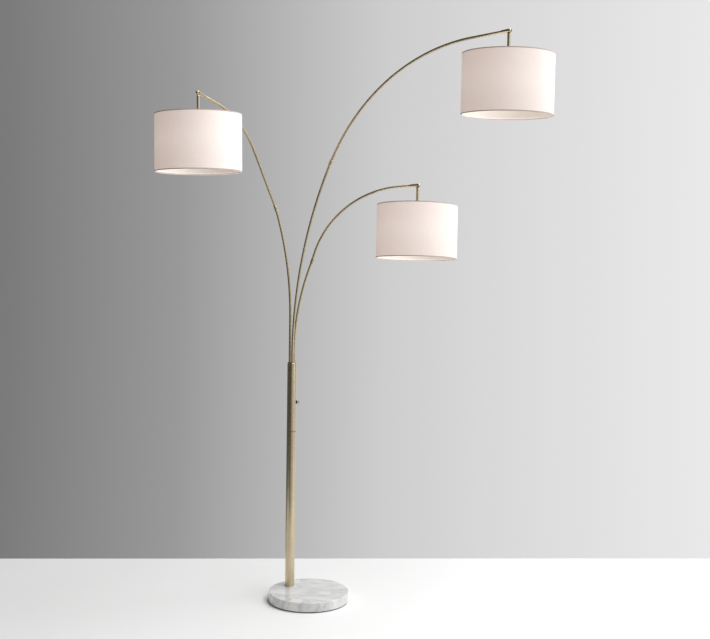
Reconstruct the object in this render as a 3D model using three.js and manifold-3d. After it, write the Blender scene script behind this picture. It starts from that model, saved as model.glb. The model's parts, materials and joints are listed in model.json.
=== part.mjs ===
// Arc floor lamp: a round marble base, a two-section pole set off centre on it, and three bent arms that
// rise from the pole's top cap. Each arm swivels in the cap and carries a drum shade on a tilting drop rod.
//
// Units are millimetres and +Z is up. The origin is the centre of the base's underside, on the floor.
// Bearings are measured about +Z from +X, so -90 faces the front of the lamp.
import * as THREE from "three";
import { mergeVertices } from "three/addons/utils/BufferGeometryUtils.js";
import Module from "manifold-3d";

const wasm = await Module();
wasm.setup();

// ---------- Driving dimensions ----------

const gap = 0.3; // between two pieces that touch

const base = {
  radius: 152.5,
  marble: 35, // thickness of the stone
  edge: 2.5, // rounding of its rims
  felt: 3, // thickness of the pad below it
  feltInset: 5, // from the stone's rim to the pad's
  recessRadius: 27, // pocket under the pole for the nut and washer
  recessDepth: 18,
};
const pole = {
  offset: 94, // from the base's centre to the pole's axis
  bearing: 144,
  wall: 1.5,
  seamHeight: 640, // joint between the two sections, above the floor
  topHeight: 905, // top face of the cap, above the floor
};
const nipple = { radius: 5, bore: 3.5, intoPole: 24, belowNut: 2 };
const nut = { acrossFlats: 17, thickness: 5 };
const washer = { radius: 25, thickness: 3 };
const footPlug = { height: 30 };
const seam = {
  thickness: 2,
  inset: 1, // of its rim, which makes the groove
  spigot: 28, // into each section
  spigotWall: 2.7,
  ringWall: 1.7, // from the pole's bore into the rim
};
const cap = {
  thickness: 8,
  spigot: 15,
  chamfer: 1.2,
  wall: 0.65, // outside the arms' holes
};
const bush = {
  wall: 1,
  lip: 0.95,
  flange: 2,
  spacing: 2.45, // between two flanges
};
const retainer = { wall: 1.4, thickness: 5 };
const gland = { bore: 3.2, wall: 1.1, length: 22, flangeRadius: 7.5, flange: 3, height: 9 };
const dial = {
  height: 753, // the switch's axis, above the floor
  bearing: 0,
  bodyRadius: 11,
  bodyRoom: 2.4, // from the body's front edge to the pole's bore
  neckRadius: 4.5,
  shaftRadius: 2.5,
  nutRadius: 6.5,
  nutThickness: 3,
  knobRadius: 4.5,
  knobLength: 9,
  knobChamfer: 1.5,
  shaftIntoKnob: 6,
};
const tube = { radius: 4.75, wall: 1.1 };
const coupling = {
  radius: 6.3,
  length: 24,
  web: 2, // between the two tubes' ends
  bore: 3,
  fit: 0.6, // round a tube that bends
};
const knuckle = {
  radius: 6.25,
  back: 30, // from the pivot back along the arm
  front: 8, // from the pivot to the tip
  backChamfer: 1,
  frontChamfer: 2,
  stopWall: 6, // between the slot and the tube's end
  freeTurn: 26, // degrees that the rod can swing back from square with the ferrule
  tongue: 4, // thickness of the drop rod's tongue
  screwRadius: 2,
  screwHead: 3.6,
  screwHeadThickness: 2,
  screwNeck: 0.5, // of the shank inside the head
};
const rod = {
  radius: 5.5,
  bore: 4,
  below: 4.75, // from the knuckle down to the round part
  tongueRadius: 5,
  tongueFoot: 2, // of the tongue inside the round part
  topWall: 3, // above the bore
  chamfer: 1,
  intoCap: 8,
};
const socketCap = { radius: 20, wall: 1.2, lap: 9, shoulder: 8, neck: 5, neckWall: 2.5 };
const lampholder = {
  radius: 17.5,
  bore: 14,
  boreDepth: 24,
  flangeRadius: 21.5,
  flange: 3,
  skirtRadius: 19,
  aboveFlange: 22,
  belowFlange: 26,
};
const fitter = {
  wall: 5,
  thickness: 2,
  spokes: 3,
  spokeRadius: 1.6,
  spokeFoot: 1, // of a spoke inside the hub's rim
  spokeDrop: 0.5, // of its foot below the hub's top
};
const shadeRing = { wall: 5, thickness: 6 };
const shade = {
  radius: 152.5,
  height: 203,
  wall: 1.5,
  topDrop: 76, // from the pivot down to the drum's top rim
  fitterDrop: 20, // from the top rim down to the fitter's ring
  wireRadius: 1.6,
  wireInset: 2, // from a rim to the wire ring's near side
};
const bulb = {
  capRadius: 13,
  capLength: 22,
  tipRadius: 4,
  tipLength: 4,
  neckRadius: 14,
  neckLength: 6,
  radius: 30,
  length: 82,
};

// Each arm's route starts at the cap's top face, runs straight up by rise, bends outward by lowerBend on
// lowerRadius to the coupling, changes lean there by kink, then runs straight by middle, bends by upperBend
// on upperRadius, and ends with the straight stretch reach up to the pivot. The knuckle is turned on the
// tube's end by roll, and the shade rests swung towards the pole by swing.
const arms = {
  tall: {
    socket: -80,
    bearing: -40,
    rise: 28,
    lowerRadius: 1565,
    lowerBend: 28,
    kink: 0.5,
    middle: 4,
    upperRadius: 756,
    upperBend: 58.3,
    reach: 146,
    roll: 0,
    swing: 0.8,
  },
  left: {
    socket: 160,
    bearing: -130,
    rise: 174,
    lowerRadius: 1050,
    lowerBend: 23.5,
    kink: 6,
    middle: 245,
    upperRadius: 325,
    upperBend: 42.5,
    reach: 100,
    roll: 1.2,
    swing: 0,
  },
  short: {
    socket: 40,
    bearing: -10,
    rise: 40,
    lowerRadius: 963,
    lowerBend: 21.6,
    kink: -6.4,
    middle: 12,
    upperRadius: 373,
    upperBend: 69.7,
    reach: 74,
    roll: -4.5,
    swing: 0,
  },
};

// How finely round shapes are divided.
const sides = { large: 48, medium: 20, small: 12, bulb: 16, tube: 8, wire: 4, wireRing: 28 };
const cornerSteps = 3; // in a quarter round
const globeSteps = 7; // from the bulb's lowest point to its neck
const globeStep = 18; // degrees of each
const tubeStep = 3.2; // most degrees of bend in one step of a tube
const straightStep = 110; // and the most millimetres

// ---------- Sizes that follow from them ----------

const radians = THREE.MathUtils.degToRad;

const bushRadius = tube.radius + gap + bush.wall;
const flangeRadius = bushRadius + bush.lip;
const through = 1; // how far a cutting tool runs past the face that it cuts
const socketCircle = (flangeRadius + bush.spacing / 2) / Math.sin(radians(60));
const poleBore = socketCircle + bushRadius + gap + cap.wall;
const poleRadius = poleBore + pole.wall;
const slotBack = rod.tongueRadius / Math.cos(radians(knuckle.freeTurn))
  + knuckle.radius * Math.tan(radians(knuckle.freeTurn)) + gap;
const tubeStop = slotBack + knuckle.stopWall; // from the pivot back to the tube's end
const rodShoulder = knuckle.radius + rod.below; // from the pivot down to the rod's round part

// ---------- Materials ----------

const finish = (color, metalness, roughness) =>
  new THREE.MeshStandardMaterial({ color, metalness, roughness });
const brass = finish(0x9a8560, 1, 0.35);
const steel = finish(0x9b9b98, 1, 0.45);
const marble = finish(0xdededb, 0, 0.15);
const feltBlack = finish(0x2a2a2a, 0, 1);
const blackPlastic = finish(0x1c1c1c, 0, 0.5);
const whitePlastic = finish(0xe6e3dc, 0, 0.4);
const linen = finish(0xece5dd, 0, 0.95);
const whiteWire = finish(0xe8e6e0, 0.2, 0.5);
const frosted = finish(0xfaf6ea, 0, 0.4);

// ---------- Solids ----------

// A closed geometry as a solid that can be joined and cut.
function solidOf(geometry) {
  const bare = geometry.clone();
  bare.deleteAttribute("normal");
  bare.deleteAttribute("uv");
  const merged = mergeVertices(bare, 1e-4);
  const corners = merged.index.array;
  const triVerts = [];
  for (let i = 0; i < corners.length; i += 3) {
    const [a, b, c] = [corners[i], corners[i + 1], corners[i + 2]];
    if (a !== b && b !== c && c !== a) triVerts.push(a, b, c);
  }
  const vertProperties = merged.attributes.position.array;
  return new wasm.Manifold(
    new wasm.Mesh({ numProp: 3, vertProperties, triVerts: new Uint32Array(triVerts) }),
  );
}

// A solid as a named mesh.
function piece(name, solid, material) {
  const { vertProperties, triVerts } = solid.getMesh();
  const geometry = new THREE.BufferGeometry();
  geometry.setAttribute("position", new THREE.BufferAttribute(vertProperties, 3));
  geometry.setIndex(new THREE.BufferAttribute(triVerts, 1));
  geometry.computeVertexNormals();
  const mesh = new THREE.Mesh(geometry, material);
  mesh.name = name;
  return mesh;
}

// Turns a profile of [radius, height] points about Z. Profiles run counter-clockwise, so faces point out.
function turned(profile, segments = sides.medium) {
  const points = profile.map(([r, z]) => new THREE.Vector2(r, z));
  return solidOf(new THREE.LatheGeometry(points, segments).rotateX(Math.PI / 2));
}

const disc = (radius, low, high, segments) =>
  turned([[0, low], [radius, low], [radius, high], [0, high]], segments);

const ring = (outer, inner, low, high, segments) =>
  turned([[inner, low], [outer, low], [outer, high], [inner, high], [inner, low]], segments);

const block = (x, y, z) => solidOf(new THREE.BoxGeometry(x, y, z));

// The points of a quarter round on a turned profile's rim, from a given angle on.
function roundedCorner(radius, height, size, from) {
  return Array.from({ length: cornerSteps + 1 }, (_, i) => {
    const angle = radians(from + (90 * i) / cornerSteps);
    return [radius + size * Math.cos(angle), height + size * Math.sin(angle)];
  });
}

// A hexagonal bar about Z.
const hexagon = (acrossFlats, low, high) =>
  disc(acrossFlats / 2 / Math.cos(radians(30)), low, high, 6);

// A solid about Z laid along +X, and one laid along +Y.
const alongX = (solid) => solid.rotate([0, 90, 0]);
const alongY = (solid) => solid.rotate([-90, 0, 0]);

// A place round Z, from a bearing and a radius.
const around = (bearing, radius, height = 0) => [
  radius * Math.cos(radians(bearing)),
  radius * Math.sin(radians(bearing)),
  height,
];

// ---------- The route of an arm, in its own upright plane: X outward, Z up ----------

class BentRoute extends THREE.Curve {
  // Stretches are { length, bend }, with bend in degrees; a stretch of no length is a kink.
  constructor(start, stretches, from = 0, to = BentRoute.lengthOf(stretches)) {
    super();
    Object.assign(this, { start, stretches, from, to });
  }

  static lengthOf = (stretches) => stretches.reduce((sum, { length }) => sum + length, 0);

  // The point and the lean from upright, in degrees, at a distance along the route.
  at(distance) {
    const point = this.start.clone();
    let lean = 0;
    let left = distance;
    for (const { length, bend } of this.stretches) {
      const run = Math.min(left, length);
      const turn = length > 0 ? (bend * run) / length : bend;
      const half = radians(turn / 2);
      const chord = half === 0 || length === 0 ? run : (run * Math.sin(half)) / half;
      const heading = radians(lean) + half;
      point.x += chord * Math.sin(heading);
      point.z += chord * Math.cos(heading);
      lean += turn;
      left -= run;
      if (left <= 0 && length > 0) break;
    }
    return { point, lean };
  }

  getPoint(t) {
    return this.at(this.from + t * (this.to - this.from)).point;
  }

  // The part of the route between two distances.
  span(from, to) {
    return new BentRoute(this.start, this.stretches, from, to);
  }
}

const arc = (radius, bend) => ({ length: radius * radians(bend), bend });
const straight = (length) => ({ length, bend: 0 });

// A round tube along a route.
function pipe(route, outer, inner) {
  const section = new THREE.Shape().absarc(0, 0, outer, 0, 2 * Math.PI);
  section.holes.push(new THREE.Path().absarc(0, 0, inner, 0, 2 * Math.PI));
  const bend = Math.abs(route.at(route.to).lean - route.at(route.from).lean);
  const steps = Math.ceil(Math.max(bend / tubeStep, (route.to - route.from) / straightStep, 1));
  const options = { steps, curveSegments: sides.tube / 2, extrudePath: route };
  return solidOf(new THREE.ExtrudeGeometry(section, options));
}

// ---------- Base ----------

const marbleLow = base.felt + gap;
const baseTop = marbleLow + base.marble;
const recessCeiling = marbleLow + base.recessDepth;
const washerLow = recessCeiling - gap - washer.thickness;
const nutLow = washerLow - gap - nut.thickness;
const nippleLow = nutLow - nipple.belowNut;
const poleBottom = baseTop + gap;

const underPole = around(pole.bearing, pole.offset); // where the pole's axis meets the floor

function makeBase() {
  const { radius, edge } = base;
  const stone = turned(
    [
      [0, marbleLow],
      ...roundedCorner(radius - edge, marbleLow + edge, edge, -90),
      ...roundedCorner(radius - edge, baseTop - edge, edge, 0),
      [0, baseTop],
    ],
    sides.large,
  );
  const recess = disc(base.recessRadius, 0, recessCeiling, sides.medium);
  const nippleHole = disc(nipple.radius + gap, 0, baseTop + through, sides.small);
  const glandHole = alongX(disc(gland.bore + gland.wall + gap, 0, radius, sides.small))
    .rotate([0, 0, pole.bearing])
    .translate([0, 0, gland.height]);
  const drilled = stone
    .subtract(recess.add(nippleHole).translate(underPole))
    .subtract(glandHole.translate(underPole));

  const glandTube = alongX(
    ring(gland.bore + gland.wall, gland.bore, -gland.length, gap, sides.small)
      .add(ring(gland.flangeRadius, gland.bore, gap, gap + gland.flange, sides.small)),
  )
    .rotate([0, 0, pole.bearing])
    .translate(around(pole.bearing, radius, gland.height));

  const nippleHigh = poleBottom + nipple.intoPole;
  const boredNut = hexagon(nut.acrossFlats, nutLow, nutLow + nut.thickness)
    .subtract(disc(nipple.radius + gap, 0, recessCeiling, sides.small));
  const flatWasher = ring(washer.radius, nipple.radius + gap, washerLow, washerLow + washer.thickness);
  const onAxis = new THREE.Group();
  onAxis.position.set(...underPole);
  onAxis.add(
    piece("base_washer", flatWasher, steel),
    piece("base_nut", boredNut, steel),
    piece("pole_nipple", ring(nipple.radius, nipple.bore, nippleLow, nippleHigh, sides.small), steel),
  );
  const group = new THREE.Group();
  group.add(
    piece("marble_base", drilled, marble),
    piece("base_felt", disc(radius - base.feltInset, 0, base.felt, sides.large), feltBlack),
    piece("cord_gland", glandTube, blackPlastic),
    onAxis,
  );
  return group;
}

// ---------- Pole, with its cap and switch; every piece is on the pole's axis ----------

const capLow = pole.topHeight - cap.thickness;

// Where each arm passes through the cap, about the pole's axis.
const socketPlace = (arm) => around(arm.socket, socketCircle);

function makeCap() {
  const body = turned([
    [0, capLow - cap.spigot],
    [poleBore - gap, capLow - cap.spigot],
    [poleBore - gap, capLow + gap],
    [poleRadius, capLow + gap],
    [poleRadius, pole.topHeight - cap.chamfer],
    [poleRadius - cap.chamfer, pole.topHeight],
    [0, pole.topHeight],
  ]);
  const holes = Object.values(arms).map((arm) =>
    disc(bushRadius + gap, 0, pole.topHeight + through, sides.small).translate(socketPlace(arm)));
  return holes.reduce((rest, hole) => rest.subtract(hole), body);
}

function makeSwitch() {
  const { bodyRadius, neckRadius, shaftRadius } = dial;
  const bodyFront = Math.sqrt((poleBore - gap) ** 2 - bodyRadius ** 2) - dial.bodyRoom;
  const nutBack = poleRadius + gap;
  const neckFront = nutBack + dial.nutThickness + gap;
  const shaftFront = neckFront + gap + dial.shaftIntoKnob;
  const body = alongX(
    disc(bodyRadius, -bodyFront, bodyFront, sides.small)
      .add(disc(neckRadius, 0, neckFront, sides.small))
      .add(disc(shaftRadius, 0, shaftFront, sides.small)),
  );
  const collar = alongX(
    ring(dial.nutRadius, neckRadius + gap, nutBack, nutBack + dial.nutThickness, sides.small),
  );
  const knobBack = neckFront + gap;
  const knobFront = knobBack + dial.knobLength;
  const knob = alongX(
    turned([
      [shaftRadius + gap, knobBack],
      [dial.knobRadius, knobBack],
      [dial.knobRadius, knobFront - dial.knobChamfer],
      [dial.knobRadius - dial.knobChamfer, knobFront],
      [0, knobFront],
      [0, shaftFront + gap],
      [shaftRadius + gap, shaftFront + gap],
      [shaftRadius + gap, knobBack],
    ], sides.small),
  );
  const group = new THREE.Group();
  group.position.z = dial.height;
  group.rotation.z = radians(dial.bearing);
  group.add(
    piece("switch_body", body, blackPlastic),
    piece("switch_nut", collar, blackPlastic),
    piece("switch_knob", knob, brass),
  );
  return group;
}

function makePole() {
  const seamHigh = pole.seamHeight + seam.thickness;
  const switchHole = alongX(disc(dial.neckRadius + gap, 0, 2 * poleRadius, sides.small))
    .rotate([0, 0, dial.bearing])
    .translate([0, 0, dial.height]);
  const upper = ring(poleRadius, poleBore, seamHigh + gap, capLow, sides.medium).subtract(switchHole);
  const spigotRadius = poleBore - gap;
  const spigotBore = spigotRadius - seam.spigotWall;
  const spigotLow = pole.seamHeight - seam.spigot;
  const seamRing = ring(spigotRadius, spigotBore, spigotLow, seamHigh + seam.spigot)
    .add(ring(poleRadius - seam.inset, spigotRadius - seam.ringWall, pole.seamHeight, seamHigh));
  const plug = ring(spigotRadius, nipple.radius + gap, poleBottom, poleBottom + footPlug.height);

  const group = new THREE.Group();
  group.position.set(...underPole);
  group.add(
    piece("pole_foot_plug", plug, steel),
    piece("lower_pole", ring(poleRadius, poleBore, poleBottom, pole.seamHeight - gap), brass),
    piece("pole_seam_ring", seamRing, steel),
    piece("upper_pole", upper, brass),
    piece("pole_cap", makeCap(), brass),
    makeSwitch(),
  );
  return group;
}

// ---------- Arms ----------

// A solid about Z, moved so that its Z runs along the route there.
const onRoute = (solid, { point, lean }) =>
  solid.rotate([0, lean, 0]).translate([point.x, 0, point.z]);

const bushHigh = pole.topHeight + gap + bush.flange;
const bushLow = capLow - cap.spigot;
const retainerLow = bushLow - gap - retainer.thickness;

function makeArm(name, arm) {
  const stretches = [
    straight(arm.rise + pole.topHeight - retainerLow),
    arc(arm.lowerRadius, arm.lowerBend),
    { length: 0, bend: arm.kink },
    straight(arm.middle),
    arc(arm.upperRadius, arm.upperBend),
    straight(arm.reach),
  ];
  const whole = new BentRoute(new THREE.Vector3(0, 0, retainerLow), stretches);
  const joint = BentRoute.lengthOf(stretches.slice(0, 2)); // distance to the coupling
  const stop = coupling.web / 2 + gap;
  const lower = whole.span(0, joint - stop);
  const upper = whole.span(joint + stop, whole.to - tubeStop);

  // The coupling: a sleeve at the mean lean, bored from each end along that end's own tube.
  const loose = tube.radius + coupling.fit;
  const web = coupling.web / 2;
  const half = coupling.length / 2;
  const atJoint = whole.at(joint);
  const leaning = (turn) => ({ point: atJoint.point, lean: atJoint.lean + turn });
  const holes = [
    onRoute(disc(loose, -coupling.length, -web, sides.small), leaning(0)),
    onRoute(disc(loose, web, coupling.length, sides.small), leaning(arm.kink)),
    onRoute(disc(coupling.bore, -coupling.web, coupling.web, sides.small), leaning(0)),
  ];
  const sleeve = onRoute(disc(coupling.radius, -half, half, sides.small), leaning(arm.kink / 2));
  const coupler = holes.reduce((rest, hole) => rest.subtract(hole), sleeve);

  // The knuckle: a turned ferrule, forked at its tip for the drop rod's tongue.
  const { radius, back, front, backChamfer, frontChamfer } = knuckle;
  const slotWidth = knuckle.tongue + 2 * gap;
  const slotLength = slotBack + front + through;
  const slot = block(4 * radius, slotWidth, slotLength).translate([0, 0, slotLength / 2 - slotBack]);
  const ferrule = turned([
    [0, -back],
    [radius - backChamfer, -back],
    [radius, backChamfer - back],
    [radius, front - frontChamfer],
    [radius - frontChamfer, front],
    [0, front],
  ], sides.small)
    .subtract(disc(tube.radius + gap, -back - through, -tubeStop + gap, sides.small))
    .subtract(disc(tube.radius - tube.wall, -back, 0, sides.small))
    .subtract(slot)
    .subtract(alongY(disc(knuckle.screwRadius + gap, -2 * radius, 2 * radius, sides.small)));
  const headBack = radius + gap;
  const screw = alongY(
    disc(knuckle.screwRadius, -radius, headBack + knuckle.screwNeck, sides.small)
      .add(disc(knuckle.screwHead, headBack, headBack + knuckle.screwHeadThickness, sides.small)),
  ).rotate([0, 0, 180]);
  const tip = whole.at(whole.to);

  const bore = tube.radius + gap;
  const inside = tube.radius - tube.wall;
  const flangedBush = ring(bushRadius, bore, bushLow, bushHigh, sides.small)
    .add(ring(flangeRadius, bore, pole.topHeight + gap, bushHigh, sides.small));
  const retainerHigh = retainerLow + retainer.thickness;
  const collar = ring(bore + retainer.wall, bore, retainerLow, retainerHigh, sides.small);
  const group = new THREE.Group();
  group.add(
    piece(`${name}_arm_bush`, flangedBush, brass),
    piece(`${name}_arm_retainer`, collar, steel),
    piece(`${name}_arm_lower_tube`, pipe(lower, tube.radius, inside), brass),
    piece(`${name}_arm_coupling`, coupler, brass),
    piece(`${name}_arm_upper_tube`, pipe(upper, tube.radius, inside), brass),
    piece(`${name}_arm_knuckle`, onRoute(ferrule.rotate([0, 0, arm.roll]), tip), brass),
    piece(`${name}_knuckle_screw`, onRoute(screw.rotate([0, 0, arm.roll]), tip), blackPlastic),
  );
  const tipLean = radians(tip.lean);
  const alongTip = new THREE.Vector3(Math.sin(tipLean), 0, Math.cos(tipLean));
  const hanging = makeShade(name);
  hanging.position.copy(tip.point);
  hanging.rotateOnAxis(alongTip, radians(arm.roll)).rotateY(radians(arm.swing));
  group.add(hanging);

  const [x, y] = socketPlace(arm);
  group.position.set(underPole[0] + x, underPole[1] + y, 0);
  group.rotation.z = radians(arm.bearing);
  return group;
}

// ---------- Shade: everything that hangs on the drop rod, with the pivot at the origin ----------

function makeShade(name) {
  const rimHigh = -shade.topDrop;
  const rimLow = rimHigh - shade.height;
  const fitterHigh = rimHigh - shade.fitterDrop;
  const flangeLow = fitterHigh + gap;
  const flangeHigh = flangeLow + lampholder.flange;
  const holderHigh = flangeHigh + lampholder.aboveFlange;
  const skirtLow = flangeLow - lampholder.belowFlange;

  // The socket cap: a skirt over the lampholder's top, a sloping shoulder, and a neck round the rod.
  const { radius: capRadius, wall } = socketCap;
  const shoulderLow = holderHigh + gap;
  const neckLow = shoulderLow + socketCap.shoulder;
  const capHigh = neckLow + socketCap.neck;
  const neckBore = rod.radius + gap;
  const neckRadius = neckBore + socketCap.neckWall;
  const skirtEdge = holderHigh - socketCap.lap;
  const dome = turned([
    [neckBore, capHigh],
    [neckBore, neckLow],
    [capRadius - wall, shoulderLow],
    [capRadius - wall, skirtEdge],
    [capRadius, skirtEdge],
    [capRadius, shoulderLow + wall],
    [neckRadius, neckLow + 2 * wall],
    [neckRadius, capHigh],
    [neckBore, capHigh],
  ]);

  const rodLow = capHigh - rod.intoCap;
  const tongueLength = rodShoulder + rod.tongueFoot;
  const tongue = block(2 * rod.tongueRadius, knuckle.tongue, tongueLength)
    .translate([0, 0, -tongueLength / 2])
    .add(alongY(disc(rod.tongueRadius, -knuckle.tongue / 2, knuckle.tongue / 2, sides.small)))
    .subtract(alongY(disc(knuckle.screwRadius + gap, -knuckle.tongue, knuckle.tongue, sides.small)));
  const boreHigh = -rodShoulder - rod.topWall;
  const dropRod = turned([
    [0, boreHigh],
    [rod.bore, boreHigh],
    [rod.bore, rodLow],
    [rod.radius, rodLow],
    [rod.radius, -rodShoulder - rod.chamfer],
    [rod.radius - rod.chamfer, -rodShoulder],
    [0, -rodShoulder],
  ], sides.small).add(tongue);

  const seatHigh = skirtLow + lampholder.boreDepth;
  const holder = turned([
    [0, seatHigh],
    [lampholder.bore, seatHigh],
    [lampholder.bore, skirtLow],
    [lampholder.skirtRadius, skirtLow],
    [lampholder.skirtRadius, flangeLow],
    [lampholder.flangeRadius, flangeLow],
    [lampholder.flangeRadius, flangeHigh],
    [lampholder.radius, flangeHigh],
    [lampholder.radius, holderHigh],
    [0, holderHigh],
  ]);

  const clamped = lampholder.skirtRadius + gap;
  const fitterLow = fitterHigh - fitter.thickness;
  const clampHigh = fitterLow - gap;
  const clampRing = ring(clamped + shadeRing.wall, clamped, clampHigh - shadeRing.thickness, clampHigh);

  const drum = ring(shade.radius, shade.radius - shade.wall, rimLow, rimHigh, sides.large);
  const wireCircle = shade.radius - shade.wall - gap - shade.wireRadius;
  const wireRing = solidOf(
    new THREE.TorusGeometry(wireCircle, shade.wireRadius, sides.wire, sides.wireRing),
  );
  const topWire = rimHigh - shade.wireInset - shade.wireRadius;
  const bottomWire = rimLow + shade.wireInset + shade.wireRadius;
  const hub = ring(clamped + fitter.wall, clamped, fitterLow, fitterHigh);
  const footRadius = clamped + fitter.wall - fitter.spokeFoot;
  const footHeight = fitterHigh - fitter.spokeDrop;
  const spokes = Array.from({ length: fitter.spokes }, (_, i) => {
    const bearing = 90 + (360 * i) / fitter.spokes;
    const inner = new THREE.Vector3(...around(bearing, footRadius, footHeight));
    const outer = new THREE.Vector3(...around(bearing, wireCircle, topWire));
    return barBetween(inner, outer, fitter.spokeRadius);
  });
  const rings = hub.add(wireRing.translate([0, 0, topWire]));
  const spider = spokes.reduce((whole, spoke) => whole.add(spoke), rings);

  // The bulb: a screw cap, a neck, and a round envelope.
  const bulbHigh = seatHigh - gap;
  const bulbSeat = bulbHigh - bulb.capLength;
  const globeMid = bulbSeat - bulb.length + bulb.radius;
  const globe = Array.from({ length: globeSteps + 1 }, (_, i) => {
    const angle = radians(globeStep * i - 90);
    return [bulb.radius * Math.cos(angle), globeMid + bulb.radius * Math.sin(angle)];
  });
  const lamp = turned([
    ...globe,
    [bulb.neckRadius, bulbSeat - bulb.neckLength],
    [bulb.capRadius, bulbSeat],
    [bulb.capRadius, bulbHigh - bulb.tipLength],
    [bulb.tipRadius, bulbHigh],
    [0, bulbHigh],
  ], sides.bulb);

  const group = new THREE.Group();
  group.add(
    piece(`${name}_drop_rod`, dropRod, brass),
    piece(`${name}_socket_cap`, dome, brass),
    piece(`${name}_lampholder`, holder, whitePlastic),
    piece(`${name}_shade_ring`, clampRing, whitePlastic),
    piece(`${name}_shade_spider`, spider, whiteWire),
    piece(`${name}_shade_lower_wire`, wireRing.translate([0, 0, bottomWire]), whiteWire),
    piece(`${name}_shade`, drum, linen),
    piece(`${name}_bulb`, lamp, frosted),
  );
  return group;
}

// A round bar between two points.
function barBetween(from, to, radius) {
  const along = to.clone().sub(from);
  const length = along.length();
  const barAxis = new THREE.Vector3(0, 1, 0);
  const turn = new THREE.Quaternion().setFromUnitVectors(barAxis, along.normalize());
  const middle = from.clone().lerp(to, 0.5);
  const bar = new THREE.CylinderGeometry(radius, radius, length, sides.wire)
    .applyQuaternion(turn)
    .translate(middle.x, middle.y, middle.z);
  return solidOf(bar);
}

const lampGroup = new THREE.Group();
lampGroup.add(makeBase(), makePole());
for (const [name, arm] of Object.entries(arms)) lampGroup.add(makeArm(name, arm));
export default lampGroup;
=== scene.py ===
# %% [markdown]
# # A three-arm arc floor lamp
# The lamp stands on a round marble base. A brass pole of two sections rises from it, off centre, and three
# bent arms swivel in the pole's cap. Each arm ends in a forked knuckle that holds a drop rod, and a linen
# drum hangs on the rod round a frosted bulb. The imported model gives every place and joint. This lesson
# turns each piece again more finely, lays cloth on the drums, and gives each finish its own grain.

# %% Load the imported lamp
import json
import math

import bmesh
import bpy
from mathutils import Matrix, Vector


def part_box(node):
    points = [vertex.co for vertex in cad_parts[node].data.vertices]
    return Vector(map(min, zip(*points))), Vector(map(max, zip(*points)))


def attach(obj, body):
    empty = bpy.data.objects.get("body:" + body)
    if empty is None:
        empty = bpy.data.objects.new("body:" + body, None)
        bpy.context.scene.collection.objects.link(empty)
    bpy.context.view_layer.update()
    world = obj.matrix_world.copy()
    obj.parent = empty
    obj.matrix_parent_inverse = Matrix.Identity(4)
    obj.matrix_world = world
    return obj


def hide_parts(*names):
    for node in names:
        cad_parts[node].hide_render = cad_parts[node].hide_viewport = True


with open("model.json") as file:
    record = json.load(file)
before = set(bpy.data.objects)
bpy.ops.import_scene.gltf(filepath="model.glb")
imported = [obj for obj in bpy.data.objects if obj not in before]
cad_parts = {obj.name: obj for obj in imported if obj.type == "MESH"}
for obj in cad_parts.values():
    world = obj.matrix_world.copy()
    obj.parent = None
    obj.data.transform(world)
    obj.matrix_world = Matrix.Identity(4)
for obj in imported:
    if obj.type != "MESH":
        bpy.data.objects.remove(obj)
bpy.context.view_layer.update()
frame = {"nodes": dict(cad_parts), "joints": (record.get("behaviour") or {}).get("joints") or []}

joints = {joint["name"]: joint for joint in frame["joints"]}
nodes = frame["nodes"]

# %% [markdown]
# The camera stands four metres in front of the lamp at chest height and looks almost straight ahead, so
# upright things stay upright. Its frame is shifted down a little to take in the base.

# %% Camera
scene = bpy.context.scene
camera = bpy.data.objects.new("camera", bpy.data.cameras.new("camera"))
camera.data.lens = 56.61
camera.data.sensor_width = 36
camera.data.shift_y = -0.07
camera.location = (0.1466, -4.245, 1.3714)
camera.rotation_euler = [math.radians(angle) for angle in (88.6055, -0.719, -0.1891)]
scene.collection.objects.link(camera)
scene.camera = camera
scene.view_settings.view_transform = "Standard"

# %% [markdown]
# Shader maths reads best as ordinary expressions. A Value wraps a node's output, and Python's operators on
# it add the Math nodes they stand for. A Finish is one material: it makes any node from its type, its
# settings and its inputs, and sets the sockets of the surface shader.

# %% Values that can be added and multiplied
class Value:
    def __init__(self, finish, socket):
        self.finish = finish
        self.socket = socket

    def math(self, operation, *others):
        inputs = dict(enumerate([self, *others]))
        return self.finish.node("ShaderNodeMath", {"operation": operation}, inputs)

    def __add__(self, other):
        return self.math("ADD", other)

    def __mul__(self, other):
        return self.math("MULTIPLY", other)

    def __sub__(self, other):
        return self.math("SUBTRACT", other)

    def __rsub__(self, other):
        return self.finish.node("ShaderNodeMath", {"operation": "SUBTRACT"}, {0: other, 1: self})

    def __pow__(self, other):
        return self.math("POWER", other)

    def __abs__(self):
        return self.math("ABSOLUTE")

    __radd__ = __add__
    __rmul__ = __mul__

    def clamped(self):
        return self.finish.node("ShaderNodeClamp", {}, {0: self})


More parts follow.
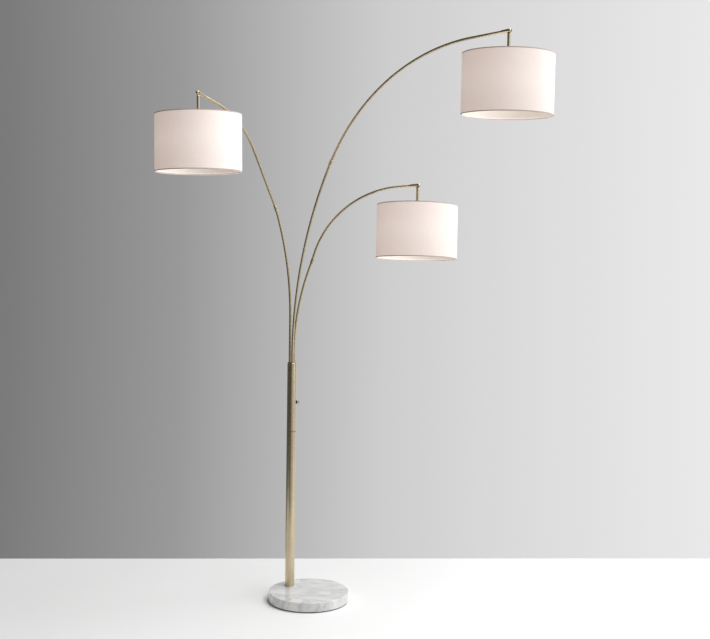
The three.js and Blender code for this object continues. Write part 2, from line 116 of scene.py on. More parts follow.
# %% One material and its nodes
class Finish:
    def __init__(self, name, **constants):
        self.material = bpy.data.materials.new(name)
        self.material.use_nodes = True
        self.tree = self.material.node_tree
        self.shader = self.tree.nodes["Principled BSDF"]
        self.set(**constants)

    def put(self, socket, value):
        if isinstance(value, Value):
            self.tree.links.new(value.socket, socket)
        else:
            socket.default_value = value

    def node(self, kind, settings, inputs, output=0):
        node = self.tree.nodes.new(kind)
        for name, value in settings.items():
            setattr(node, name, value)
        for key, value in inputs.items():
            self.put(node.inputs[key], value)
        return Value(self, node.outputs[output])

    def set(self, **sockets):
        for name, value in sockets.items():
            self.put(self.shader.inputs[name.replace("_", " ")], value)

    def mix(self, factor, first, second):
        return self.node("ShaderNodeMix", {"data_type": "RGBA"}, {0: factor, 6: first, 7: second}, 2)

    def stretch(self, point, scale, offset=(0, 0, 0), turn=(0, 0, 0)):
        inputs = {"Vector": point, "Location": offset, "Rotation": turn, "Scale": scale}
        return self.node("ShaderNodeMapping", {}, inputs)

    def noise(self, point, scale=1.0, detail=2.0, roughness=0.5, distortion=0.0):
        inputs = {"Vector": point, "Scale": scale, "Detail": detail}
        inputs |= {"Roughness": roughness, "Distortion": distortion}
        return self.node("ShaderNodeTexNoise", {}, inputs)

    def on_piece(self):
        return self.node("ShaderNodeTexCoord", {}, {}, "Object")

    def on_local(self):
        return self.node("ShaderNodeAttribute", {"attribute_name": "local"}, {}, "Vector")

    def bump(self, height, strength, distance):
        inputs = {"Height": height, "Strength": strength, "Distance": distance}
        self.set(Normal=self.node("ShaderNodeBump", {}, inputs))


def rgb(red, green, blue):
    return (red, green, blue, 1)


def grey(level):
    return rgb(level, level, level)


# %% [markdown]
# The room is a plain pale floor that ends a little behind the lamp, and a sky of one soft gradient: dark
# on the left and bright on the right, like a grey wall lit from one side. A wall itself would hide the
# lamp from behind, so the sky stands in for it. The floor stops short in front and on the left, so that
# the pole reflects the dark sky there and keeps one dark side.

# %% Floor
FLOOR_BACK = 0.565
FLOOR_FRONT = -1.1
FLOOR_LEFT = -1.7
FLOOR_RIGHT = 4.0
FLOOR_TURN = 2.4  # degrees about Z, so that its far edge looks level
floor_bm = bmesh.new()
bmesh.ops.create_grid(floor_bm, x_segments=1, y_segments=1, size=0.5)
floor_place = Matrix.Rotation(math.radians(FLOOR_TURN), 4, "Z")
floor_middle = ((FLOOR_LEFT + FLOOR_RIGHT) / 2, (FLOOR_BACK + FLOOR_FRONT) / 2, -0.0004)
floor_place @= Matrix.Translation(floor_middle)
floor_place @= Matrix.Diagonal((FLOOR_RIGHT - FLOOR_LEFT, FLOOR_BACK - FLOOR_FRONT, 1, 1))
bmesh.ops.transform(floor_bm, matrix=floor_place, verts=floor_bm.verts[:])
floor_mesh = bpy.data.meshes.new("floor")
floor_bm.to_mesh(floor_mesh)
floor_bm.free()
floor = bpy.data.objects.new("floor", floor_mesh)
scene.collection.objects.link(floor)
floor_finish = Finish("pale_floor", Roughness=0.8)
patches = floor_finish.noise(floor_finish.on_piece(), 1.5, 2)
floor_finish.set(Base_Color=floor_finish.mix(patches, grey(0.80), grey(0.84)))
floor_mesh.materials.append(floor_finish.material)

# %% Sky
SKY_EDGE = 0.42  # how far to each side, as a share of a unit direction, the sky still changes
SKY_DARK = rgb(0.15, 0.146, 0.14)
SKY_BRIGHT = grey(0.90)
SKY_STOPS = [(-0.29, 0.198), (-0.15, 0.318), (0.03, 0.612), (0.12, 0.688)]
SKY_IN_FRONT = 0.58  # strength of the half of the sky that faces the lamp's front
world = bpy.data.worlds.new("studio")
scene.world = world
world.use_nodes = True
sky = world.node_tree
background = sky.nodes["Background"]
direction = sky.nodes.new("ShaderNodeSeparateXYZ")
sky.links.new(sky.nodes.new("ShaderNodeTexCoord").outputs["Generated"], direction.inputs[0])


def sky_range(axis, low, high, least, most):
    mapped = sky.nodes.new("ShaderNodeMapRange")
    sky.links.new(direction.outputs[axis], mapped.inputs["Value"])
    limits = {"From Min": low, "From Max": high, "To Min": least, "To Max": most}
    for name, value in limits.items():
        mapped.inputs[name].default_value = value
    return mapped


ramp = sky.nodes.new("ShaderNodeValToRGB")
ramp.color_ramp.elements[0].color = SKY_DARK
ramp.color_ramp.elements[1].color = SKY_BRIGHT
for across, level in SKY_STOPS:
    ramp.color_ramp.elements.new((across + SKY_EDGE) / (2 * SKY_EDGE)).color = grey(level)
sky.links.new(sky_range("X", -SKY_EDGE, SKY_EDGE, 0.0, 1.0).outputs[0], ramp.inputs[0])
sky.links.new(ramp.outputs[0], background.inputs["Color"])
behind = sky_range("Y", -0.25, 0.55, SKY_IN_FRONT, 1.0)
behind.interpolation_type = "SMOOTHSTEP"
sky.links.new(behind.outputs[0], background.inputs["Strength"])

# %% Lamps of the studio
def soft_light(name, place, target, width, height, power):
    light = bpy.data.lights.new(name, "AREA")
    light.shape = "RECTANGLE"
    light.size = width
    light.size_y = height
    light.energy = power
    holder = bpy.data.objects.new(name, light)
    holder.location = place
    holder.rotation_euler = (Vector(target) - Vector(place)).to_track_quat("-Z", "Y").to_euler()
    scene.collection.objects.link(holder)


soft_light("key", (3.2, -1.7, 1.5), (0.1, 0, 1.1), 0.8, 2.8, 11)
soft_light("fill", (2.0, -3.4, 1.5), (0.1, 0, 1.1), 2.4, 2.8, 3)
soft_light("overhead", (1.5, -0.5, 4.0), (0.2, -0.1, 0.0), 2.6, 2.6, 170)

# %% [markdown]
# Antique brass is a metal with a brown patina under clear lacquer. The pole is brushed round and round,
# which smears its reflections up and down but keeps them sharp from side to side: that is what the
# anisotropic setting does. The arms are brushed along their length. Each piece carries its own coordinates
# in a "local" attribute, with Z along its axis, so the lines keep their direction wherever it points.

# %% Brass
def brass_finish(name, across, along, roughness, depth, **constants):
    finish = Finish(name, Metallic=1.0, Coat_Weight=0.2, Coat_Roughness=0.15, **constants)
    local = finish.on_local()
    lines = finish.noise(finish.stretch(local, (across, across, along)), detail=2, roughness=0.6)
    bands = finish.noise(finish.stretch(local, (across / 4, across / 4, along / 12)), detail=2)
    clouds = finish.noise(finish.stretch(local, (14, 14, 7)), detail=2)
    worn = ((lines - 0.5) * 0.35 + (bands - 0.5) * 0.25 + (clouds - 0.5) * 0.4 + 0.5).clamped()
    finish.set(Base_Color=finish.mix(worn, rgb(0.37, 0.295, 0.17), rgb(0.82, 0.71, 0.51)))
    finish.set(Roughness=roughness + (lines - 0.5) * 0.10 + (1 - clouds) * 0.06)
    finish.bump(lines, 0.05, depth)
    return finish.material


brass_pole = brass_finish(
    "antique_brass_brushed_round", 30, 4200, 0.20, 0.00003,
    Anisotropic=0.3, Anisotropic_Rotation=0.25,
)
brass_arm = brass_finish("antique_brass_brushed_along", 500, 4, 0.27, 0.00001)
brass_turned = brass_finish("antique_brass_turned", 30, 3000, 0.13, 0.00002)

# %% [markdown]
# The base is polished white marble. Its grey veins are thin where a warped noise crosses its middle
# value, and broad pale clouds lie behind them. A clear gloss on top gives the polish.

# %% Marble
def marble_finish():
    finish = Finish("polished_marble", Coat_Weight=0.8, Coat_Roughness=0.04, Specular_IOR_Level=0.5)
    point = finish.stretch(finish.on_piece(), (1, 2.1, 1.4), (0.31, 0.12, 0.2), (0, 0, 0.42))
    clouds = finish.noise(point, 7.5, 5, 0.55, 0.6)
    fine = finish.noise(point, 34, 6, 0.6, 0.4)
    vein = finish.noise(point, 5.0, 7, 0.55, 1.1)
    thin = (1 - abs(vein - 0.5) * 22).clamped() ** 1.6
    broad = (1 - abs(vein - 0.46) * 6).clamped() ** 1.5
    shade = ((clouds - 0.45) * 2.4).clamped() * 0.38 + broad * 0.26 + thin * 0.34 + (fine - 0.5) * 0.26
    finish.set(Base_Color=finish.mix(shade.clamped(), rgb(0.78, 0.78, 0.77), rgb(0.34, 0.345, 0.35)))
    finish.set(Roughness=0.05 + fine * 0.05)
    finish.bump(fine, 0.02, 0.0002)
    return finish.material


marble = marble_finish()

# %% [markdown]
# The drums wear plain-woven linen. The weave is drawn on the cloth's own UV map, in metres: two crossing
# sets of threads, each a row of rounded ridges that goes over and under the other. Slubs, the thick places
# in a thread, are long noises along each set. The cloth's emission paints a warm glow in place of the
# light that comes through the drum. This painted glow is a little stronger where the bulb is and where the
# threads are open.

# %% Linen
THREAD = 0.00062


def linen_finish(name, pale, dark, through, painted_glow):
    finish = Finish(name, Specular_IOR_Level=0.25, Sheen_Weight=0.15, Sheen_Roughness=0.6)
    uv = finish.node("ShaderNodeUVMap", {"uv_map": "cloth"}, {})
    across = finish.node("ShaderNodeSeparateXYZ", {}, {0: uv}, 0)
    up = finish.node("ShaderNodeSeparateXYZ", {}, {0: uv}, 1)
    wobble = finish.noise(finish.stretch(uv, (60, 60, 1)), detail=1) * 0.9
    warp = (across * (math.pi / THREAD) + wobble).math("SINE")
    weft = (up * (math.pi / THREAD) + wobble).math("SINE")
    over = ((across * (0.5 / THREAD)).math("FLOOR") + (up * (0.5 / THREAD)).math("FLOOR")).math("MODULO", 2)
    ridge = abs(warp) * over + abs(weft) * (1 - over)
    long_slubs = finish.noise(finish.stretch(uv, (22, 900, 1)), detail=3, roughness=0.6)
    tall_slubs = finish.noise(finish.stretch(uv, (900, 22, 1)), detail=3, roughness=0.6)
    patches = finish.noise(finish.stretch(uv, (9, 9, 1)), detail=3)
    cloth = long_slubs * 0.34 + tall_slubs * 0.34 + ridge * 0.2 + patches * 0.12
    finish.set(Base_Color=finish.mix(((cloth - 0.3) * 2.2).clamped(), dark, pale))
    finish.set(Roughness=0.82 + (patches - 0.5) * 0.1)
    finish.bump(ridge + (long_slubs + tall_slubs) * 0.8, 0.5, 0.00022)
    # Painted glow: emission stands in for the light of the bulb and the studio coming through the cloth.
    nearness = finish.node("ShaderNodeAttribute", {"attribute_name": "painted_glow"}, {}, "Fac")
    lit = (nearness * 0.35 + (cloth - 0.5) * 0.8 + 0.5).clamped()
    finish.set(Emission_Color=finish.mix(lit, through, painted_glow), Emission_Strength=1.0)
    return finish.material


linen = linen_finish(
    "ivory_linen", rgb(0.60, 0.585, 0.58), rgb(0.47, 0.45, 0.44),
    rgb(0.41, 0.32, 0.275), rgb(0.54, 0.44, 0.39),
)
# The trim is the same linen: its darker colour is painted shade along each rolled rim, and its faint
# emission is the painted glow of the little light through the doubled cloth.
hem_linen_painted_shade = linen_finish(
    "hem_linen_painted_shade", rgb(0.50, 0.43, 0.385), rgb(0.36, 0.30, 0.26),
    rgb(0.05, 0.038, 0.03), rgb(0.08, 0.06, 0.05),
)

# %% [markdown]
# Inside each drum is a white plastic liner that the cloth is glued to. Its emission paints the bulb's light
# on it as a glow, strongest at the bulb's height.

# %% Liner
def liner_finish():
    finish = Finish("styrene_liner", Roughness=0.5)
    point = finish.on_local()
    mottle = finish.noise(finish.stretch(point, (40, 40, 40)), detail=4)
    finish.set(Base_Color=finish.mix(mottle, rgb(0.78, 0.74, 0.70), rgb(0.71, 0.67, 0.63)))
    finish.bump(finish.noise(finish.stretch(point, (900, 900, 900)), detail=2), 0.15, 0.0001)
    # Painted glow: emission for the bulb's light falling on the liner.
    nearness = finish.node("ShaderNodeAttribute", {"attribute_name": "painted_glow"}, {}, "Fac")
    finish.set(Emission_Color=finish.mix(nearness, rgb(0.13, 0.105, 0.09), rgb(0.24, 0.20, 0.17)))
    finish.set(Emission_Strength=1.0)
    return finish.material


liner = liner_finish()

# %% [markdown]
# The small parts need plainer finishes: black and white moulded plastic with a fine orange-peel, painted
# wire, zinc-grey steel, black felt with short fibres, and frosted glass that glows softly.

# %% Small parts' finishes
def plain_finish(name, colour, other, roughness, grain, depth, point="local", **constants):
    finish = Finish(name, **constants)
    place = finish.on_local() if point == "local" else finish.on_piece()
    peel = finish.noise(finish.stretch(place, (grain, grain, grain)), detail=3)
    clouds = finish.noise(finish.stretch(place, (grain / 20, grain / 20, grain / 20)), detail=3)
    finish.set(Base_Color=finish.mix(clouds, colour, other))
    finish.set(Roughness=roughness + (clouds - 0.5) * 0.2)
    finish.bump(peel, 0.2, depth)
    return finish.material


black_plastic = plain_finish("black_plastic", grey(0.012), grey(0.028), 0.42, 1400, 0.00008)
black_plastic_inside = plain_finish(
    "black_plastic_inside", grey(0.012), grey(0.028), 0.42, 1400, 0.00008, "object",
)
white_plastic = plain_finish(
    "white_plastic", rgb(0.80, 0.78, 0.74), rgb(0.72, 0.70, 0.66), 0.3, 1200, 0.00006,
)
white_wire = plain_finish(
    "white_wire", rgb(0.78, 0.77, 0.74), rgb(0.66, 0.65, 0.62), 0.4, 1500, 0.0001,
)
steel = plain_finish("zinc_steel", grey(0.5), grey(0.36), 0.38, 700, 0.0001, "object", Metallic=1.0)
steel_turned = plain_finish("zinc_steel_turned", grey(0.5), grey(0.36), 0.34, 700, 0.0001, Metallic=1.0)
steel_dark = plain_finish("blackened_steel", grey(0.26), grey(0.18), 0.4, 700, 0.0001, Metallic=1.0)
felt = plain_finish("black_felt", grey(0.02), grey(0.05), 0.95, 2600, 0.0008, "object", Sheen_Weight=0.4)
frosted = plain_finish(
    "frosted_glass", rgb(0.93, 0.91, 0.87), rgb(0.88, 0.86, 0.82), 0.28, 1800, 0.00005,
    Emission_Color=rgb(1.0, 0.86, 0.70), Emission_Strength=1.3,
)

# %% [markdown]
# Most of the lamp is turned on a lathe or bent from tube, so two helpers make most pieces: one spins a
# half profile about Z, and one rounds every sharp edge. The last helper notes each point's place in a
# "local" attribute, moves the mesh to its place on the lamp, and hands it to its body.

# %% Turning and rounding
MM = 0.001
SAME_PLACE = 1e-6  # metres: points closer than this are merged


def spun(bm, steps, degrees=360):
    bmesh.ops.spin(
        bm, geom=bm.verts[:] + bm.edges[:], cent=(0, 0, 0), axis=(0, 0, 1),
        angle=math.radians(degrees), steps=steps, use_merge=degrees == 360,
    )
    bmesh.ops.remove_doubles(bm, verts=bm.verts[:], dist=SAME_PLACE)
    bmesh.ops.dissolve_degenerate(bm, edges=bm.edges[:], dist=SAME_PLACE / 10)
    bmesh.ops.recalc_face_normals(bm, faces=bm.faces[:])
    return bm


def outline(profile, closed):
    bm = bmesh.new()
    points = [bm.verts.new((radius * MM, 0, height * MM)) for radius, height in profile]
    ends = zip(points, points[1:] + points[:1]) if closed else zip(points, points[1:])
    for first, second in ends:
        bm.edges.new((first, second))
    return bm


def turned(profile, sides=64, closed=True):
    return spun(outline(profile, closed), sides)


def solid_rod(radius, low, high, sides=32):
    return turned([(0, low), (radius, low), (radius, high), (0, high)], sides, closed=False)


def hollow_ring(outer, inner, low, high, sides=64):
    return turned([(inner, low), (outer, low), (outer, high), (inner, high)], sides)


def rounded(bm, size, segments=2, sharper_than=30):
    limit = math.radians(sharper_than)
    sharp = [e for e in bm.edges if len(e.link_faces) == 2 and e.calc_face_angle() > limit]
    bmesh.ops.bevel(
        bm, geom=sharp, offset=size * MM, offset_type="OFFSET", segments=segments, profile=0.5,
        affect="EDGES", material=-1, clamp_overlap=True,
    )
    return bm


def moved(bm, x=0, y=0, z=0):
    bmesh.ops.translate(bm, vec=(x * MM, y * MM, z * MM), verts=bm.verts[:])
    return bm


def tipped(bm, degrees, axis):
    turn = Matrix.Rotation(math.radians(degrees), 3, axis)
    bmesh.ops.rotate(bm, cent=(0, 0, 0), matrix=turn, verts=bm.verts[:])
    return bm


# %% Cutting and joining
def loose(bm):
    mesh = bpy.data.meshes.new("workpiece")
    bm.to_mesh(mesh)
    bm.free()
    made = bpy.data.objects.new("workpiece", mesh)
    scene.collection.objects.link(made)
    return made


def combined(bm, tools, operation):
    work = loose(bm)
    helpers = [loose(tool) for tool in tools]
    for helper in helpers:
        modifier = work.modifiers.new("combine", "BOOLEAN")
        modifier.operation = operation
        modifier.solver = "EXACT"
        modifier.object = helper
    result = bmesh.new()
    result.from_object(work, bpy.context.evaluated_depsgraph_get())
    for used in [work, *helpers]:
        mesh = used.data
        bpy.data.objects.remove(used)
        bpy.data.meshes.remove(mesh)
    bmesh.ops.remove_doubles(result, verts=result.verts[:], dist=2 * SAME_PLACE)
    return result


def cut(bm, *tools):
    return combined(bm, tools, "DIFFERENCE")


def joined(bm, *parts):
    return combined(bm, parts, "UNION")


# %% Placing a piece on the lamp
ORIGIN = Matrix.Identity(4)
SLOT_FINISH = {
    "brass": brass_turned, "marble": marble, "felt": felt, "steel": steel_turned, "linen": linen,
    "black_plastic": black_plastic, "black_steel": black_plastic, "white_plastic": white_plastic,
    "white_wire": white_wire, "frosted_glass": frosted,
}
made = []


def finished(name, bm, body, slot, replaces=(), place=ORIGIN, finish=None, sharp=40, local=True, even=True):
    if local:
        layer = bm.verts.layers.float_vector.new("local")
        for vert in bm.verts:
            vert[layer] = vert.co
    bmesh.ops.transform(bm, matrix=place, verts=bm.verts[:])
    mesh = bpy.data.meshes.new(name)
    bm.to_mesh(mesh)
    triangles = len(bm.calc_loop_triangles())
    bm.free()
    mesh.shade_smooth()
    mesh.set_sharp_from_angle(angle=math.radians(sharp))
    mesh.materials.append(finish or SLOT_FINISH[slot])
    piece = bpy.data.objects.new(name, mesh)
    scene.collection.objects.link(piece)
    if even:
        weighting = piece.modifiers.new("even_normals", "WEIGHTED_NORMAL")
        weighting.mode = "FACE_AREA"
        weighting.keep_sharp = True
    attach(piece, body)
    if replaces:
        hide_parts(*replaces)
    made.append((name, triangles))
    return piece


# %% [markdown]
# The base is a disc of stone with softly rounded rims. Below the pole it has a pocket for the nut and
# washer, and a bore lets the cord out at the back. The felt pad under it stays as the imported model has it.

# %% Base
base_low, base_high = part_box("marble_base")
BASE_RADIUS = base_high.x / MM
BASE_LOW = base_low.z / MM
BASE_HIGH = base_high.z / MM
pole_low, pole_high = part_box("lower_pole")
pole_axis = (pole_low + pole_high) / 2
POLE_X = pole_axis.x / MM
POLE_Y = pole_axis.y / MM
POLE_BEARING = math.degrees(math.atan2(POLE_Y, POLE_X))
POCKET_RADIUS = 27
POCKET_TOP = 21.3
NIPPLE_HOLE = 5.3
GLAND_HEIGHT = 9
GLAND_RADIUS = 4.3
GLAND_BORE = 3.2
RIM_ROUNDING = 2.5


def towards_rear(bm):
    return tipped(tipped(bm, 90, "Y"), POLE_BEARING, "Z")


stone = rounded(solid_rod(BASE_RADIUS, BASE_LOW, BASE_HIGH, 160), RIM_ROUNDING, 5)
pocket = moved(solid_rod(POCKET_RADIUS, -1, POCKET_TOP, 64), POLE_X, POLE_Y)
bolt_hole = moved(solid_rod(NIPPLE_HOLE, 0, BASE_HIGH + 5, 32), POLE_X, POLE_Y)
cord_bore = towards_rear(solid_rod(GLAND_RADIUS + 0.2, 0, BASE_RADIUS, 32))
cord_bore = moved(cord_bore, POLE_X, POLE_Y, GLAND_HEIGHT)
stone = cut(stone, pocket, bolt_hole, cord_bore)
finished("marble_stone", stone, "root", "marble", ["marble_base"])

# %% Cord gland
gland = turned([
    (GLAND_BORE, -22), (GLAND_RADIUS, -22), (GLAND_RADIUS, 0.3), (7.5, 0.3),
    (7.5, 1.6), (6.3, 3.3), (GLAND_BORE, 3.3),
], 48)
gland = moved(towards_rear(rounded(gland, 0.35, 2)), 0, 0, GLAND_HEIGHT)
gland_bearing = math.radians(POLE_BEARING)
gland_seat = Vector((math.cos(gland_bearing), math.sin(gland_bearing), 0)) * BASE_RADIUS
gland = moved(gland, *gland_seat)
finished("cord_grommet", gland, "root", "black_plastic", ["cord_gland"])

# %% [markdown]
# The pole is two lengths of one tube. A steel sleeve joins them, and a thin groove shows where they meet.
# Its cap is a plug with three holes, and each hole has a flanged bush that an arm turns in.

# %% Pole
POLE_RADIUS = (pole_high.x - pole_low.x) / 2 / MM
POLE_BORE = POLE_RADIUS - 1.5
SPIGOT_RADIUS = POLE_BORE - 0.3
SPIGOT_BORE = POLE_BORE - 2
SEAM = 640
SEAM_WIDTH = 2
SWITCH_HEIGHT = 753
CAP_TOP = 905
CAP_LOW = CAP_TOP - 8
CAP_FOOT = CAP_TOP - 23
GAP = 0.3  # between two pieces that touch
on_pole = Matrix.Translation((pole_axis.x, pole_axis.y, 0))

lower_section = rounded(hollow_ring(POLE_RADIUS, POLE_BORE, BASE_HIGH + GAP, SEAM - GAP, 96), 0.4)
finished("lower_pole_tube", lower_section, "root", "brass", ["lower_pole"], on_pole, brass_pole)
upper_low = SEAM + SEAM_WIDTH + GAP
upper_section = rounded(hollow_ring(POLE_RADIUS, POLE_BORE, upper_low, CAP_LOW, 96), 0.4)
switch_hole = moved(tipped(solid_rod(4.8, 0, 40), 90, "Y"), 0, 0, SWITCH_HEIGHT)
upper_section = cut(upper_section, switch_hole)
finished("upper_pole_tube", upper_section, "root", "brass", ["upper_pole"], on_pole, brass_pole)
sleeve = turned([
    (SPIGOT_BORE, SEAM - 28), (SPIGOT_RADIUS, SEAM - 28), (SPIGOT_RADIUS, SEAM),
    (POLE_RADIUS - 1, SEAM), (POLE_RADIUS - 1, SEAM + SEAM_WIDTH), (SPIGOT_RADIUS, SEAM + SEAM_WIDTH),
    (SPIGOT_RADIUS, SEAM + 30), (SPIGOT_BORE, SEAM + 30),
], 96)
finished("pole_joint_sleeve", sleeve, "root", "steel", ["pole_seam_ring"], on_pole, steel_dark)

# %% Cap
arm_names = ["tall", "left", "short"]
swivels = {name: Vector(joints[f"{name}_arm_swivel"]["pos_m"]) for name in arm_names}
BUSH_RADIUS = 6.05
cap = turned([
    (0, CAP_FOOT), (SPIGOT_RADIUS, CAP_FOOT), (SPIGOT_RADIUS, CAP_LOW + GAP),
    (POLE_RADIUS, CAP_LOW + GAP), (POLE_RADIUS, CAP_TOP), (0, CAP_TOP),
], 96, closed=False)
cap = rounded(cap, 1.1, 3)
holes = []
for name in arm_names:
    offset = (swivels[name] - pole_axis) / MM
    hole = solid_rod(BUSH_RADIUS + 0.15, CAP_TOP - 30, CAP_TOP + 5, 48)
    holes.append(moved(hole, offset.x, offset.y))
finished("pole_top_cap", cut(cap, *holes), "root", "brass", ["pole_cap"], on_pole, brass_pole)

# %% [markdown]
# The turn switch sits in the pole with its neck through the wall. A knurled black nut holds it, and a
# small ribbed brass knob turns on its shaft. The ribs are made by drawing in every other edge.

# %% Switch
def ribbed(radius, low, high, ribs, depth, bore):
    bm = hollow_ring(radius, bore, low, high, 2 * ribs)
    for vert in bm.verts:
        turn = math.atan2(vert.co.y, vert.co.x) / math.pi * ribs
        if vert.co.xy.length > radius * MM * 0.98 and round(turn) % 2:
            vert.co.x *= 1 - depth / radius
            vert.co.y *= 1 - depth / radius
    return rounded(bm, 0.25, 2, 50)


def on_switch(bm):
    return tipped(bm, 90, "Y")


switch_place = Matrix.Translation((pole_axis.x, pole_axis.y, SWITCH_HEIGHT * MM))
NUT_BACK = POLE_RADIUS + GAP
NUT_FACE = NUT_BACK + 3
KNOB_BACK = NUT_FACE + 0.6
KNOB_FACE = KNOB_BACK + 9
nut = on_switch(ribbed(6.5, NUT_BACK, NUT_FACE, 30, 0.35, 4.7))
finished("switch_ring_nut", nut, "root", "black_plastic", ["switch_nut"], switch_place)
knob_skirt = ribbed(4.4, KNOB_BACK, KNOB_FACE - 2.4, 22, 0.3, 2.8)
knob_face = turned([
    (0, KNOB_FACE - 2.6), (3.9, KNOB_FACE - 2.6), (4.1, KNOB_FACE - 1.4), (3.2, KNOB_FACE - 0.3),
    (0, KNOB_FACE),
], 48, closed=False)
knob = on_switch(joined(knob_skirt, knob_face))
finished("switch_dial", knob, "switch_knob", "brass", ["switch_knob"], switch_place)

# %% [markdown]
# An arm is one upright tube, a coupling, and a second tube, all in one plane. A circle of edges is
# extruded where the tube is straight and spun about the bend's centre where it curves, and the wall is
# given its thickness at the end. The distance travelled goes into the tube's own coordinates.

# %% Arms' routes
TUBE_RADIUS = 4.75
TUBE_WALL = 1.1
TUBE_FIT = 0.12  # of the bores that take a tube's end
ARM_LOW = 876.7  # height of the tubes' lower ends, inside the pole
STOP = 1.3  # from a coupling's middle to either tube
TUBE_STOP = 14.92  # from a pivot back to its tube's end
# Stretches are in millimetres, each bend is (radius, degrees), and a kink is in degrees.
ARMS = {
    "tall": {
        "rise": 28, "lower": (1565, 28), "kink": 0.5,
        "middle": 4, "upper": (756, 58.3), "reach": 146,
    },
    "left": {
        "rise": 174, "lower": (1050, 23.5), "kink": 6,
        "middle": 245, "upper": (325, 42.5), "reach": 100,
    },
    "short": {
        "rise": 40, "lower": (963, 21.6), "kink": -6.4,
        "middle": 12, "upper": (373, 69.7), "reach": 74,
    },
}


def heading(lean):
    return Vector((math.sin(math.radians(lean)), 0, math.cos(math.radians(lean))))


def outward(lean):
    return Vector((math.cos(math.radians(lean)), 0, -math.sin(math.radians(lean))))


class Bender:
    """Walks along an arm in its own plane, in millimetres, and leaves a tube behind it."""

    def __init__(self, point, lean, sides=40):
        self.point = point
        self.lean = lean
        self.along = 0.0
        self.bm = bmesh.new()
        bmesh.ops.create_circle(self.bm, cap_ends=False, segments=sides, radius=TUBE_RADIUS * MM)
        self.local = self.bm.verts.layers.float_vector.new("local")
        for vert in self.bm.verts:
            vert[self.local] = vert.co
        turn = Matrix.Rotation(math.radians(lean), 4, "Y")
        bmesh.ops.transform(self.bm, matrix=Matrix.Translation(point * MM) @ turn, verts=self.bm.verts[:])
        self.rim = self.bm.edges[:]

    def note(self, verts, step):
        self.along += step
        for vert in verts:
            vert[self.local].z = self.along * MM

    def straight(self, length):
        grown = bmesh.ops.extrude_edge_only(self.bm, edges=self.rim)["geom"]
        verts = [g for g in grown if isinstance(g, bmesh.types.BMVert)]
        bmesh.ops.translate(self.bm, vec=heading(self.lean) * length * MM, verts=verts)
        ends = set(verts)
        self.rim = [g for g in grown if isinstance(g, bmesh.types.BMEdge) and set(g.verts) <= ends]
        self.point = self.point + heading(self.lean) * length
        self.note(verts, length)
        return self

    def bend(self, radius, degrees, step=0.6):
        centre = self.point + outward(self.lean) * radius
        steps = math.ceil(abs(degrees) / step)
        for _ in range(steps):
            grown = bmesh.ops.spin(
                self.bm, geom=self.rim, cent=centre * MM, axis=(0, 1, 0),
                angle=math.radians(degrees / steps), steps=1, use_duplicate=False,
            )["geom_last"]
            self.rim = [g for g in grown if isinstance(g, bmesh.types.BMEdge)]
            verts = {vert for edge in self.rim for vert in edge.verts}
            self.note(verts, radius * math.radians(degrees / steps))
        self.lean += degrees
        self.point = centre - outward(self.lean) * radius
        return self

    def walled(self):
        bmesh.ops.recalc_face_normals(self.bm, faces=self.bm.faces[:])
        bmesh.ops.solidify(self.bm, geom=self.bm.faces[:], thickness=TUBE_WALL * MM)
        return self.bm


# %% Arms' frames
def upright_frame(name):
    swivel = swivels[name]
    pivot = Vector(joints[f"{name}_shade_tilt"]["pos_m"])
    bearing = math.atan2(pivot.y - swivel.y, pivot.x - swivel.x)
    return Matrix.Translation((swivel.x, swivel.y, 0)) @ Matrix.Rotation(bearing, 4, "Z")


def frame_of(x, y, z, point):
    turn = Matrix((x, y, z)).transposed().to_4x4()
    return Matrix.Translation(point) @ turn


# %% Arms' tubes and couplings
BENT_TUBE = {"finish": brass_arm, "sharp": 50, "local": False, "even": False}
COUPLING_PROFILE = [
    (0, -12), (6.3, -12), (6.3, -9.6), (6.0, -9.3), (6.0, -8.9), (6.3, -8.6),
    (6.3, 8.6), (6.0, 8.9), (6.0, 9.3), (6.3, 9.6), (6.3, 12), (0, 12),
]
tip_frames = {}
for name in arm_names:
    arm = ARMS[name]
    body = f"{name}_arm"
    place = upright_frame(name)
    radius, degrees = arm["lower"]
    lower = Bender(Vector((0, 0, ARM_LOW)), 0)
    lower.straight(arm["rise"] + CAP_TOP - ARM_LOW).bend(radius, degrees - math.degrees(STOP / radius))
    joint = lower.point + heading(degrees) * STOP
    lower_node = f"{name}_arm_lower_tube"
    finished(f"{name}_lower_arm", lower.walled(), body, "brass", [lower_node], place, **BENT_TUBE)

    lean = degrees + arm["kink"]
    radius, degrees = arm["upper"]
    upper = Bender(joint + heading(lean) * STOP, lean)
    upper.straight(arm["middle"] - STOP).bend(radius, degrees).straight(arm["reach"] - TUBE_STOP)
    tip = upper.point + heading(upper.lean) * TUBE_STOP
    pivot = Vector(joints[f"{name}_shade_tilt"]["pos_m"])
    print(name, "arm ends", round((place @ (tip * MM) - pivot).length / MM, 3), "mm from its pivot")
    upper_node = f"{name}_arm_upper_tube"
    finished(f"{name}_upper_arm", upper.walled(), body, "brass", [upper_node], place, **BENT_TUBE)

    coupling = rounded(turned(COUPLING_PROFILE, 48, closed=False), 0.7, 3, 60)
    bores = []
    for side, low, high in ((-1, -20, -1), (1, 1, 20)):
        bore = solid_rod(TUBE_RADIUS + TUBE_FIT, low, high, 32)
        bores.append(tipped(bore, side * arm["kink"] / 2, "Y"))
    middle_turn = Matrix.Rotation(math.radians(lean - arm["kink"] / 2), 4, "Y")
    at_joint = place @ Matrix.Translation(joint * MM) @ middle_turn
    coupling_node = f"{name}_arm_coupling"
    finished(f"{name}_coupling", cut(coupling, *bores), body, "brass", [coupling_node], at_joint)
    along_tip = (place.to_3x3() @ heading(upper.lean)).normalized()
    axis = Vector(joints[f"{name}_shade_tilt"]["axis"]).normalized()
    tip_frames[name] = frame_of(axis.cross(along_tip), axis, along_tip, pivot)

